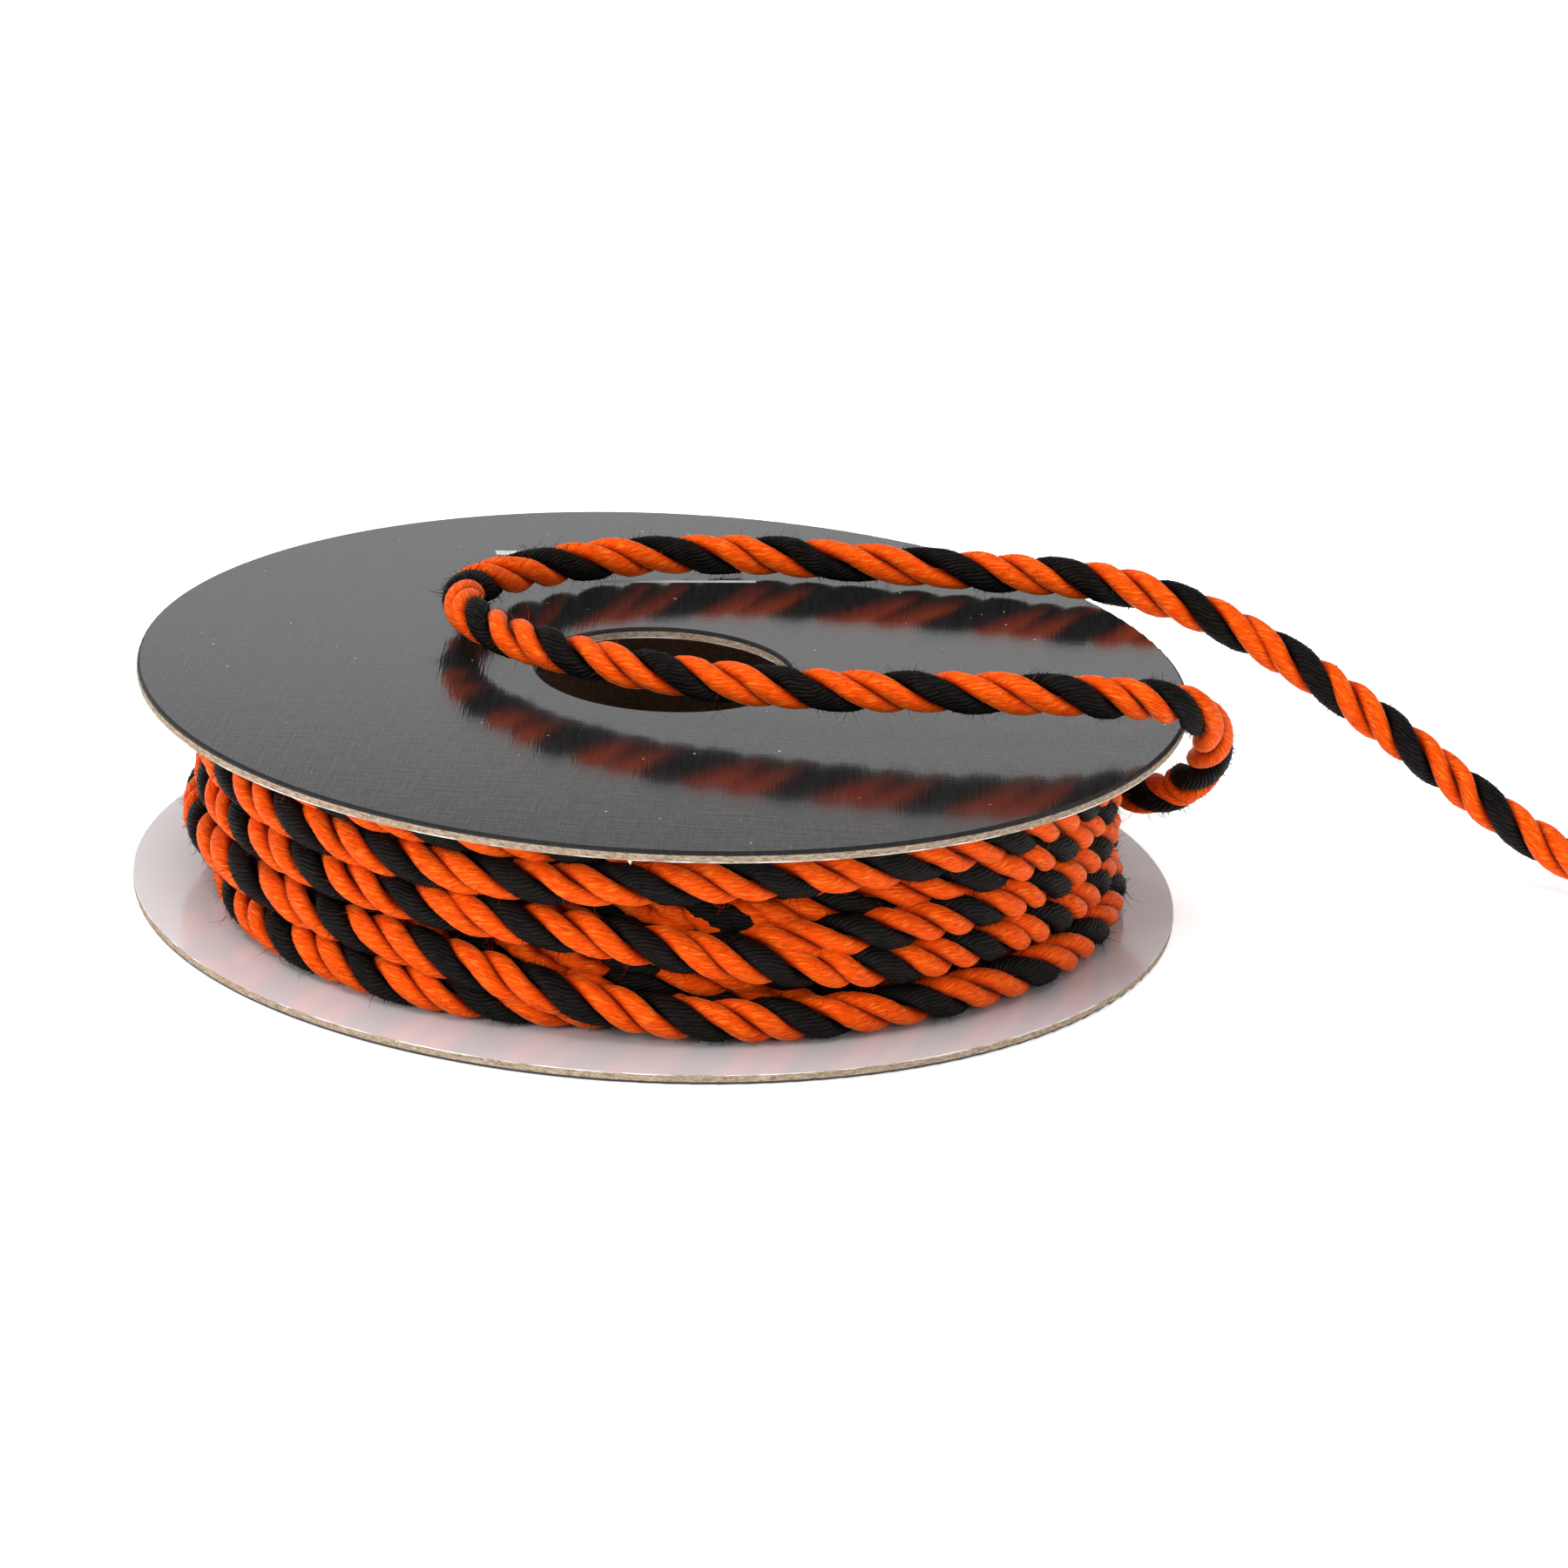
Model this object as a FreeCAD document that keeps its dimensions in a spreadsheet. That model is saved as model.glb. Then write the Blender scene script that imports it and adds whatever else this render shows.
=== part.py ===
import FreeCAD, Part

import math
import os

import Sketcher

# A flat card spool wound with three-strand twisted cord, standing on one disc.
# Frame: origin at the centre of the bottom face, +Z up along the spindle hole, millimetres.
# The cord is wound in two layers between the discs. Its free end leaves the winding at the
# +X side, turns up over the rim of the top disc, lies across the disc in one long loop and
# runs down to the floor at +X.

# Driving sizes: cell alias, value in millimetres or degrees, meaning.
SIZES = [
    ("disc_diameter", 103.6, "across each card disc"),
    ("hole_diameter", 25.4, "spindle hole through both discs"),
    ("spool_height", 23.0, "over both discs"),
    ("board_thickness", 0.85, "grey board inside each disc"),
    ("paper_thickness", 0.1, "cover paper and liner paper, each"),
    ("rim_rounding", 0.35, "die-cut shoulder that the cover paper follows"),
    ("core_diameter", 76.2, "outside of the paper core tube"),
    ("core_wall", 1.6, "wall of the core tube"),
    ("glue_thickness", 0.15, "glue film under each end of the core"),
    ("glue_overhang", 0.8, "glue squeezed out inside the core"),
    ("tape_thickness", 0.15, "tape that holds the start of the cord"),
    ("tape_width", 12.0, "height of the tape on the core"),
    ("tape_angle", 26.0, "arc of the core that the tape covers"),
    ("cord_diameter", 4.1, "over the three strands"),
    ("layer_pitch", 3.8, "radial step from one layer of turns to the next"),
    ("turns_per_layer", 5.0, "turns side by side between the discs"),
    ("wrap_thickness", 0.15, "tape round the cut end of the cord"),
    ("wrap_length", 8.0, "length of that tape"),
]

# Sizes that follow from the driving ones, as expressions on the sheet.
DISC_RADIUS = "sizes.disc_diameter / 2"
HOLE_RADIUS = "sizes.hole_diameter / 2"
PAPER = "sizes.paper_thickness"
RIM = "sizes.rim_rounding"
DISC_THICKNESS = "(sizes.board_thickness + 2 * sizes.paper_thickness)"
CORE_RADIUS = "sizes.core_diameter / 2"
CORE_INSIDE = "(sizes.core_diameter / 2 - sizes.core_wall)"
CORE_HEIGHT = f"(sizes.spool_height - 2 * {DISC_THICKNESS} - 2 * sizes.glue_thickness)"
CORD_RADIUS = "sizes.cord_diameter / 2"
WINDING_HEIGHT = "sizes.turns_per_layer * sizes.cord_diameter"
LAYER_BORDER = f"({CORE_RADIUS} + {CORD_RADIUS} + sizes.layer_pitch / 2)"
WINDING_RADIUS = f"({CORE_RADIUS} + sizes.cord_diameter + sizes.layer_pitch)"

# The free end of the cord, from the side of the winding to its cut end: points of a
# hand-laid route, in millimetres, with tangent arcs at every inner point.
TAIL_ROUTE = [
    (45.7, 9.3, 10.4),
    (48.4, 4.2, 10.8),
    (51.9, 0.4, 13.2),
    (54.2, -3.4, 17.4),
    (54.1, -9.6, 23.1),
    (51.0, -13.6, 26.8),
    (44.0, -15.9, 27.9),
    (36.5, -17.2, 28.3),
    (27.5, -18.0, 28.2),
    (16.5, -17.9, 27.7),
    (4.0, -16.2, 27.5),
    (-7.9, -11.1, 27.4),
    (-16.3, -3.9, 27.0),
    (-20.6, 4.4, 26.7),
    (-20.5, 14.3, 26.1),
    (-14.2, 21.8, 25.7),
    (-5.1, 28.2, 25.5),
    (7.0, 31.4, 25.4),
    (19.5, 30.4, 25.4),
    (32.1, 29.4, 25.4),
    (44.1, 27.9, 25.6),
    (54.5, 24.8, 24.0),
    (65.5, 20.8, 19.3),
    (76.0, 17.2, 13.1),
    (86.0, 13.4, 6.7),
    (95.5, 9.4, 2.5),
    (105.5, 5.6, 2.4),
    (115.5, 4.8, 2.3),
    (124.5, 6.6, 2.3),
]
ARC_SHARE = 0.45  # part of the shorter run that an arc's tangent takes
SHOWN_TIGHT = 3.0  # cord diameters: a smaller arc is printed as a fold

document = FreeCAD.newDocument("cord_spool")
sheet = document.addObject("Spreadsheet::Sheet", "sizes")
for row, (alias, size, meaning) in enumerate(SIZES, start=1):
    sheet.set(f"A{row}", meaning)
    sheet.set(f"B{row}", str(size))
    sheet.setAlias(f"B{row}", alias)
document.recompute()


def value(expression):
    """The number that an expression on the sheet has now."""
    return float(sheet.evalExpression(expression))


def hold_corner(sketch, edge, end, radius, height):
    """Fix one end of a sketch edge at a radius and a height, both from the sheet."""
    sketch.addConstraint(Sketcher.Constraint("DistanceX", -1, 1, edge, end, value(radius)))
    sketch.setExpression(f"Constraints[{sketch.ConstraintCount - 1}]", radius)
    if height == "0":
        sketch.addConstraint(Sketcher.Constraint("PointOnObject", edge, end, -1))
        return
    sketch.addConstraint(Sketcher.Constraint("DistanceY", -1, 1, edge, end, value(height)))
    sketch.setExpression(f"Constraints[{sketch.ConstraintCount - 1}]", height)


def arc_edge(start, end, centre):
    """The short way round a centre, with the numbers of its first and last end."""
    turn_from = math.atan2(start.y - centre.y, start.x - centre.x)
    turn_to = math.atan2(end.y - centre.y, end.x - centre.x)
    circle = Part.Circle(centre, FreeCAD.Vector(0, 0, 1), (start - centre).Length)
    if (turn_to - turn_from) % (2 * math.pi) < math.pi:
        return Part.ArcOfCircle(circle, turn_from, turn_to), 1, 2
    return Part.ArcOfCircle(circle, turn_to, turn_from), 2, 1


def draw_section(sketch, corners, rounds):
    """A closed outline of (radius, height) corners; rounds gives the edges that are arcs,
    as edge number: (centre radius, centre height, arc radius)."""
    points = [FreeCAD.Vector(value(radius), value(height), 0) for radius, height in corners]
    ends = []
    for edge, start in enumerate(points):
        end = points[(edge + 1) % len(points)]
        if edge in rounds:
            centre_radius, centre_height, arc_radius = rounds[edge]
            centre = FreeCAD.Vector(value(centre_radius), value(centre_height), 0)
            shape, first, last = arc_edge(start, end, centre)
            sketch.addGeometry(shape)
        else:
            sketch.addGeometry(Part.LineSegment(start, end))
            first, last = 1, 2
        ends.append((first, last))
    for edge in range(len(points)):
        following = (edge + 1) % len(points)
        joined = Sketcher.Constraint("Coincident", edge, ends[edge][1], following, ends[following][0])
        sketch.addConstraint(joined)
    for edge, (radius, height) in enumerate(corners):
        hold_corner(sketch, edge, ends[edge][0], radius, height)
    for edge, (_, _, arc_radius) in rounds.items():
        sketch.addConstraint(Sketcher.Constraint("Radius", edge, value(arc_radius)))
        sketch.setExpression(f"Constraints[{sketch.ConstraintCount - 1}]", arc_radius)


def sketch_on(body, role, name):
    """A sketch on one of the body's own origin planes."""
    sketch = body.newObject("Sketcher::SketchObject", name)
    plane = next(item for item in body.Origin.OriginFeatures if item.Role == role)
    sketch.AttachmentSupport = [(plane, "")]
    sketch.MapMode = "FlatFace"
    return sketch


def turned_body(label, corners, rounds=None):
    """A body of revolution about Z from a section in the XZ plane."""
    body = document.addObject("PartDesign::Body", label)
    body.Label = label
    sketch = sketch_on(body, "XZ_Plane", f"{label}_section")
    draw_section(sketch, corners, rounds or {})
    turn = body.newObject("PartDesign::Revolution", f"{label}_turn")
    turn.Profile = sketch
    turn.ReferenceAxis = (sketch, ["V_Axis"])
    turn.Angle = 360
    body.Tip = turn
    return body


def set_height(piece, expression):
    """Lift a piece to a height from the sheet."""
    piece.setExpression("Placement.Base.z", expression)


def cylinder(name, radius, height, base):
    """An upright cylinder on the Z axis."""
    solid = document.addObject("Part::Cylinder", name)
    solid.setExpression("Radius", radius)
    solid.setExpression("Height", height)
    set_height(solid, base)
    return solid


def cut(label, base, tool):
    """One piece with another taken out of it."""
    piece = document.addObject("Part::Cut", label)
    piece.Label = label
    piece.Base = base
    piece.Tool = tool
    return piece


# Card discs: each lies liner down at height 0 of its own frame, cover paper on top.
def disc_board(label):
    """Grey board with the rounded shoulder that the cover paper is pressed over."""
    shoulder = f"({DISC_THICKNESS} - {RIM})"
    under_cover = f"({DISC_THICKNESS} - {PAPER})"
    rim_centre = f"({DISC_RADIUS} - {RIM})"
    hole_centre = f"({HOLE_RADIUS} + {RIM})"
    corners = [
        (HOLE_RADIUS, PAPER),
        (DISC_RADIUS, PAPER),
        (DISC_RADIUS, shoulder),
        (f"({DISC_RADIUS} - {PAPER})", shoulder),
        (rim_centre, under_cover),
        (hole_centre, under_cover),
        (f"({HOLE_RADIUS} + {PAPER})", shoulder),
        (HOLE_RADIUS, shoulder),
    ]
    board_round = f"({RIM} - {PAPER})"
    rounds = {
        3: (rim_centre, shoulder, board_round),
        5: (hole_centre, shoulder, board_round),
    }
    return turned_body(label, corners, rounds)


def disc_cover(label):
    """Glossy cover paper, rolled a little way down the rim and into the hole."""
    shoulder = f"({DISC_THICKNESS} - {RIM})"
    under_cover = f"({DISC_THICKNESS} - {PAPER})"
    rim_centre = f"({DISC_RADIUS} - {RIM})"
    hole_centre = f"({HOLE_RADIUS} + {RIM})"
    corners = [
        (HOLE_RADIUS, shoulder),
        (f"({HOLE_RADIUS} + {PAPER})", shoulder),
        (hole_centre, under_cover),
        (rim_centre, under_cover),
        (f"({DISC_RADIUS} - {PAPER})", shoulder),
        (DISC_RADIUS, shoulder),
        (rim_centre, DISC_THICKNESS),
        (hole_centre, DISC_THICKNESS),
    ]
    inner_round = f"({RIM} - {PAPER})"
    rounds = {
        1: (hole_centre, shoulder, inner_round),
        3: (rim_centre, shoulder, inner_round),
        5: (rim_centre, shoulder, RIM),
        7: (hole_centre, shoulder, RIM),
    }
    return turned_body(label, corners, rounds)


def disc_liner(label):
    """White liner paper on the face towards the cord."""
    corners = [(HOLE_RADIUS, "0"), (DISC_RADIUS, "0"), (DISC_RADIUS, PAPER), (HOLE_RADIUS, PAPER)]
    return turned_body(label, corners)


def make_disc(side, upside_down, height):
    """The three layers of one disc, the lower disc turned over."""
    layers = [
        disc_board(f"{side}_disc_board"),
        disc_cover(f"{side}_disc_cover"),
        disc_liner(f"{side}_disc_liner"),
    ]
    for layer in layers:
        if upside_down:
            layer.Placement.Rotation = FreeCAD.Rotation(FreeCAD.Vector(1, 0, 0), 180)
        set_height(layer, height)
    return layers


# Core: a paper tube with a glue film at each end.
def make_core():
    """The tube, padded from two circles."""
    body = document.addObject("PartDesign::Body", "core_tube")
    body.Label = "core_tube"
    sketch = sketch_on(body, "XY_Plane", "core_section")
    for radius in (CORE_RADIUS, CORE_INSIDE):
        circle = Part.Circle(FreeCAD.Vector(0, 0, 0), FreeCAD.Vector(0, 0, 1), value(radius))
        edge = sketch.addGeometry(circle)
        sketch.addConstraint(Sketcher.Constraint("Coincident", edge, 3, -1, 1))
        sketch.addConstraint(Sketcher.Constraint("Radius", edge, value(radius)))
        sketch.setExpression(f"Constraints[{sketch.ConstraintCount - 1}]", radius)
    pad = body.newObject("PartDesign::Pad", "core_pad")
    pad.Profile = sketch
    pad.setExpression("Length", CORE_HEIGHT)
    body.Tip = pad
    set_height(body, f"{DISC_THICKNESS} + sizes.glue_thickness")
    return body


def make_glue(label, height):
    """A thin ring of glue, squeezed out inside the core."""
    outside = cylinder(f"{label}_outside", CORE_RADIUS, "sizes.glue_thickness", height)
    inside_radius = f"{CORE_INSIDE} - sizes.glue_overhang"
    inside = cylinder(f"{label}_inside", inside_radius, "sizes.glue_thickness", height)
    return cut(label, outside, inside)


def make_start_tape():
    """A strip of tape on the core that the first turns lie over."""
    height = "(sizes.spool_height - sizes.tape_width) / 2"
    outside_radius = f"{CORE_RADIUS} + sizes.tape_thickness"
    sector = cylinder("start_tape_sector", outside_radius, "sizes.tape_width", height)
    sector.setExpression("Angle", "sizes.tape_angle")
    inside = cylinder("start_tape_inside", CORE_RADIUS, "sizes.tape_width", height)
    return cut("start_tape", sector, inside)


# Winding: each layer of turns is one closed ring of its outer shape.
def make_inner_layer(tape):
    """First layer, from the core to the border between the layers, clear of the tape."""
    corners = [
        (CORE_RADIUS, "0"),
        (LAYER_BORDER, "0"),
        (LAYER_BORDER, WINDING_HEIGHT),
        (CORE_RADIUS, WINDING_HEIGHT),
    ]
    ring = turned_body("inner_layer_ring", corners)
    set_height(ring, f"(sizes.spool_height - {WINDING_HEIGHT}) / 2")
    return cut("cord_inner_layer", ring, tape)


def make_outer_layer():
    """Second layer, rounded like the cord at its two outer corners."""
    round_centre = f"({WINDING_RADIUS} - {CORD_RADIUS})"
    upper_centre = f"({WINDING_HEIGHT} - {CORD_RADIUS})"
    corners = [
        (LAYER_BORDER, "0"),
        (round_centre, "0"),
        (WINDING_RADIUS, CORD_RADIUS),
        (WINDING_RADIUS, upper_centre),
        (round_centre, WINDING_HEIGHT),
        (LAYER_BORDER, WINDING_HEIGHT),
    ]
    rounds = {
        1: (round_centre, CORD_RADIUS, CORD_RADIUS),
        3: (round_centre, upper_centre, CORD_RADIUS),
    }
    layer = turned_body("cord_outer_layer", corners, rounds)
    set_height(layer, f"(sizes.spool_height - {WINDING_HEIGHT}) / 2")
    return layer


# Free end: a tube of straight runs joined by tangent arcs.
def route_edges(points):
    """Edges of the route, and the radius of the arc at each inner point."""
    edges = []
    radii = []
    reached = points[0]
    for before, corner, after in zip(points, points[1:], points[2:]):
        back = before - corner
        ahead = after - corner
        half_turn = (math.pi - back.getAngle(ahead)) / 2
        tangent = ARC_SHARE * min(back.Length, ahead.Length)
        arc_start = corner + back.normalize() * tangent
        arc_end = corner + ahead.normalize() * tangent
        radius = tangent / math.tan(half_turn)
        to_centre = (back + ahead).normalize()
        centre = corner + to_centre * (radius / math.cos(half_turn))
        arc_middle = centre - to_centre * radius
        edges.append(Part.LineSegment(reached, arc_start).toShape())
        edges.append(Part.Arc(arc_start, arc_middle, arc_end).toShape())
        radii.append(radius)
        reached = arc_end
    edges.append(Part.LineSegment(reached, points[-1]).toShape())
    return edges, radii


def make_tail(outer_layer):
    """The free end, trimmed where it lies against the winding."""
    points = [FreeCAD.Vector(*point) for point in TAIL_ROUTE]
    edges, radii = route_edges(points)
    path = Part.Wire(edges)
    cord_radius = value(CORD_RADIUS)
    section = Part.Wire(Part.makeCircle(cord_radius, points[0], points[1] - points[0]))
    tube = document.addObject("Part::Feature", "cord_tail_tube")
    tube.Shape = path.makePipeShell([section], True, True)
    for number, radius in enumerate(radii, start=1):
        note = "  tight fold" if radius < SHOWN_TIGHT * value("sizes.cord_diameter") else ""
        print(f"arc {number}: radius {radius:.1f} mm{note}")
    expected = math.pi * cord_radius**2 * path.Length
    print(f"tail length {path.Length:.1f} mm, volume {tube.Shape.Volume:.1f}, expected {expected:.1f}")
    return cut("cord_tail", tube, outer_layer)


def make_end_wrap():
    """Tape round the last stretch of the cord, so that the strands stay twisted."""
    end = FreeCAD.Vector(*TAIL_ROUTE[-1])
    direction = (end - FreeCAD.Vector(*TAIL_ROUTE[-2])).normalize()
    start = end - direction * value("sizes.wrap_length")
    aim = FreeCAD.Rotation(FreeCAD.Vector(0, 0, 1), direction)
    outside = document.addObject("Part::Cylinder", "end_wrap_outside")
    outside.setExpression("Radius", f"{CORD_RADIUS} + sizes.wrap_thickness")
    inside = document.addObject("Part::Cylinder", "end_wrap_inside")
    inside.setExpression("Radius", CORD_RADIUS)
    for solid in (outside, inside):
        solid.setExpression("Height", "sizes.wrap_length")
        solid.Placement = FreeCAD.Placement(start, aim)
    return cut("cord_end_wrap", outside, inside)


def check(pieces):
    """Stop before anything is written if an object failed or a shape is not sound."""
    for item in document.Objects:
        if "Invalid" in item.State or "Error" in item.State:
            raise RuntimeError(f"{item.Name} did not recompute: {item.State}")
    for piece in pieces:
        if piece.Shape.isNull() or not piece.Shape.isValid() or not piece.Shape.Solids:
            raise RuntimeError(f"{piece.Label} has no sound solid")


start_tape = make_start_tape()
outer_layer = make_outer_layer()
pieces = [
    *make_disc("top", False, f"sizes.spool_height - {DISC_THICKNESS}"),
    *make_disc("bottom", True, DISC_THICKNESS),
    make_core(),
    make_glue("core_glue_top", f"sizes.spool_height - {DISC_THICKNESS} - sizes.glue_thickness"),
    make_glue("core_glue_bottom", DISC_THICKNESS),
    start_tape,
    make_inner_layer(start_tape),
    outer_layer,
    make_tail(outer_layer),
    make_end_wrap(),
]
document.recompute()
check(pieces)

os.makedirs("parts", exist_ok=True)
for piece in pieces:
    piece.Shape.exportStep(f"parts/{piece.Label}.step")
    box = piece.Shape.optimalBoundingBox()
    print(f"{piece.Label}: {len(piece.Shape.Solids)} solid, volume {piece.Shape.Volume:.1f} mm3, "
          f"z {box.ZMin:.2f} to {box.ZMax:.2f}")
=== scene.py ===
"""Looks of a card spool wound with three-strand twisted cord.

Lengths are in metres, unless their comment says mm.
"""

import math

import bpy
import numpy as np
from mathutils import Matrix, Vector


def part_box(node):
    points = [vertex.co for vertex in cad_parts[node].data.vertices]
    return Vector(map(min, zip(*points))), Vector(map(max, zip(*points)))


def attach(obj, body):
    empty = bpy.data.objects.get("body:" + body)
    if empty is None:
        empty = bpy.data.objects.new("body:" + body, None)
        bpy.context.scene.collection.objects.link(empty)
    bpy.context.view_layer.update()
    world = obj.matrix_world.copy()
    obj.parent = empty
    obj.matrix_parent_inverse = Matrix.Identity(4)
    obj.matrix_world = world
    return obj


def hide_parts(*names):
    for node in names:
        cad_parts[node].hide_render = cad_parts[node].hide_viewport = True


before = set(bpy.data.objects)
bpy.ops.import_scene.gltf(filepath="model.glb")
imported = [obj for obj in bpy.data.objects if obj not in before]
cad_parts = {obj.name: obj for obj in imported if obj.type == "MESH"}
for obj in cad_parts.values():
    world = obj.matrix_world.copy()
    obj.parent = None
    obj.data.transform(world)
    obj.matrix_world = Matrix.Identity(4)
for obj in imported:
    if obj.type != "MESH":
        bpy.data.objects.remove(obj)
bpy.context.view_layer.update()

MM = 0.001

# The cord: three strands, two orange and one black, laid up right-handed.
CORD_RADIUS = 2.05 * MM
LAY = 12.6 * MM
STRAND_CENTRE = 1.05 * MM
STRAND_DEEP = 1.0 * MM
STRAND_HALF_GAP = 0.02 * MM

# The black strand is plumper. Half of the angle that each strand takes up in the cord, and half its width.
BLACK_SHARE = math.radians(67)
ORANGE_SHARE = (math.pi - BLACK_SHARE) / 2
BLACK_HALF_WIDTH = 1.40 * MM
ORANGE_HALF_WIDTH = 1.15 * MM

# Yarns in a strand: two columns of mesh each, and they run almost straight along the cord.
YARNS = 10
COLUMNS = 2 * YARNS
BLACK_RIDGE = 0.03 * MM
ORANGE_RIDGE = 0.015 * MM
YARN_TWIST = 2 * math.pi / LAY * CORD_RADIUS / STRAND_DEEP

# How much the strands waver round the cord, in radians, and how much plumper or thinner they get.
TWIST_WAVER = 0.10
PLUMP_WAVER = 0.045

# How sharp the corners are between a strand's round back and its two flat sides.
CORNER_SHARPNESS = 12

# Stray fibres: tubes with three corners through three points, thinner towards their tips.
HAIR_POINTS = 3
HAIR_CORNERS = 3
HAIR_RADIUS = 0.035 * MM
HAIR_TAPER = 0.8
HAIR_SCALE = 0.30 * MM
HAIR_LONGEST = 1.8 * MM

# How far a hair reaches out, along and to the side, as shares of its length.
HAIR_OUT = 0.7
HAIR_ALONG = 0.8
HAIR_CURL = 0.3

# Hairs grow where they can be seen: where the cord is this far outside its first layer, or this far
# above the winding, and where a strand's skin stands out from the cord's middle by this much.
HAIRS_CLEAR_OF_CORE = 1.5 * MM
HAIRS_ABOVE_WINDING = 1 * MM
HAIRS_OUTWARD = 0.5 * CORD_RADIUS

# How far stray fibres keep off the floor and the discs' faces, and where those faces are.
HAIR_GAP = 0.06 * MM
DISC_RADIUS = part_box("top_disc_board")[1].x
OVER_TOP_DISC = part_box("top_disc_cover")[1].z
UNDER_TOP_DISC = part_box("top_disc_liner")[0].z
OVER_BOTTOM_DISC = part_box("bottom_disc_liner")[1].z

# The cord's line: points to each span of the spline. Turns right on the core can't be seen, and keep
# only one point in so many.
POINTS_PER_SPAN = 21
ON_THE_CORE = 0.1 * MM
THINNED_BY = 3

# The winding.
STEPS_PER_TURN = 24
FIRST_STEP_DEG = -18
LAST_STEP_DEG = 9 * 360 + 327
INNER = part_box("core_tube")[1].x + CORD_RADIUS
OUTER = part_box("cord_outer_layer")[1].x - CORD_RADIUS
FLOOR_OF_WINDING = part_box("bottom_disc_liner")[1].z + CORD_RADIUS
TOP_OF_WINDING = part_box("top_disc_liner")[0].z - CORD_RADIUS

# Half the angle over which a turn changes its height or layer, in degrees, and the angles of what
# every turn does at the back and on the right: from where it starts to where it is complete.
HEIGHT_RAMP = 22
LAYER_RAMP = 14
BACK_RISE = (210, 330)
BACK_LAYER_CHANGE = (330, 358)
PUSH_STARTS = (148, 170)
PUSH_ENDS = (200, 225)
RIGHT_DIP = 0.9
DIP_STARTS = (300, 345)
DIP_ENDS = (12, 40)

# Each turn in the order it was wound, with angles from the right side, clockwise seen from above:
# height on the right in mm, height on the left in mm, the angle where it changes height,
# layer on the right (0 lies on the core, 1 over that), layer on the left, the angle where it changes layer.
TURNS = (
    (11.5, 15.6, 90, 0.0, 0.0, 90),
    (15.6, 19.7, 90, 0.0, 0.0, 90),
    (19.7, 19.8, 95, 0.2, 1.0, 98),
    (17.6, 15.7, 92, 1.0, 1.0, 90),
    (14.8, 11.6, 64, 1.0, 0.0, 56),
    (11.3, 7.4, 82, 1.0, 0.0, 76),
    (6.8, 3.3, 96, 0.0, 0.0, 90),
    (3.3, 3.3, 90, 0.0, 1.0, 100),
    (3.2, 7.4, 101, 1.25, 1.0, 42),
    (7.6, 11.8, 81, 1.0, 1.0, 90),
)

# Where the last turn is heading when it leaves for the free end: height in mm and layer.
LEAVING = (11.2, 1.0)

# How much further out, in layers, each turn passes the left side, where they are pushed about.
LEFT_PUSH = (0, 0, 0, 0, 0, 0, 0, -0.5, 0.3, 0)

# How many degrees the strands are ahead of an even lay, where each turn passes these angles at the front.
TWIST_ANGLES = (30, 65, 100, 135, 165)
TURN_TWIST = (
    (0, 0, 0, 0, 0),
    (100, 100, 150, 200, 200),
    (217, 217, 217, 217, 200),
    (156, 108, 166, 168, 110),
    (55, 65, 225, 300, 300),
    (220, 290, 320, 290, 290),
    (240, 340, 395, 460, 460),
    (285, 230, 285, 360, 380),
    (200, 145, 238, 268, 150),
    (-62, 15, 95, 145, 145),
)

# The same on the free end, at these distances from its tip in mm.
TAIL_TWIST = (
    (271, 107), (268.6, 236), (250, 197), (239, 283), (225, 256), (213, 253),
    (200, 250), (187, 268), (172, 293), (158, 357), (146, 323), (132, 278),
    (119, 266), (104, 171), (92, 174), (79, 169), (66, 148), (54, 179),
    (42, 203),
)

# The free end, in mm: out from the winding, up and over the upper disc in a loop, and down to the floor.
TAIL_ROUTE = (
    (45.7, 9.3, 10.4), (48.4, 4.2, 10.8), (51.9, 0.4, 13.2), (54.2, -3.4, 17.4),
    (54.1, -9.6, 23.1), (51.0, -13.6, 26.8), (44.0, -15.9, 27.9), (36.5, -17.2, 28.3),
    (27.5, -18.0, 28.2), (16.5, -17.9, 27.7), (4.0, -16.2, 27.5), (-7.9, -11.1, 27.4),
    (-16.3, -3.9, 27.0), (-20.6, 4.4, 26.7), (-20.5, 14.3, 26.1), (-14.2, 21.8, 25.7),
    (-5.1, 28.2, 25.5), (7.0, 31.4, 25.4), (19.5, 30.4, 25.4), (32.1, 29.4, 25.4),
    (44.1, 27.9, 25.6), (54.5, 24.8, 24.0), (65.5, 20.8, 19.3), (76.0, 17.2, 13.1),
    (86.0, 13.4, 6.7), (95.5, 9.4, 2.5), (105.5, 5.6, 2.4), (115.5, 4.8, 2.3),
    (124.5, 6.6, 2.3),
)

# Printed lines on the cover, in mm: their thickness, then each line's name, one end, other end, width.
RULE_THICKNESS = 0.02
RULES = (
    ("printed_line_long", (-7.3, 26.9), (8.4, 29.5), 0.7),
    ("printed_line_short", (-18.7, 34.6), (-8.0, 36.4), 1.4),
)

# Burrs on each disc's liner, their mean size over their shape number, and how far their tips lean.
BURRS = (("top_disc_liner", 26), ("bottom_disc_liner", 34))
BURR_SHAPE = 1.6
BURR_SCALE = 0.10 * MM
BURR_LEANS = (-1, 0.6)

# A burr's three corners on the edge, and then its tip, which gets its height from its lean. Each says
# how far round the edge, in half widths, and how far out and up, in sizes. The half width is this
# share of the size.
BURR_FOOT = ((-1, -0.1, -0.3), (1, -0.1, -0.3), (0, -0.2, 0.3))
BURR_TIP = (0.3, 0.55)
BURR_WIDTH = 0.6

# The largest burr on the top disc: where it is round the edge, its size, and how far its tip hangs down.
LARGE_BURR_ANGLE = math.radians(-91.4)
LARGE_BURR_SIZE = 0.4 * MM
LARGE_BURR_LEAN = -1.0

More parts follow.
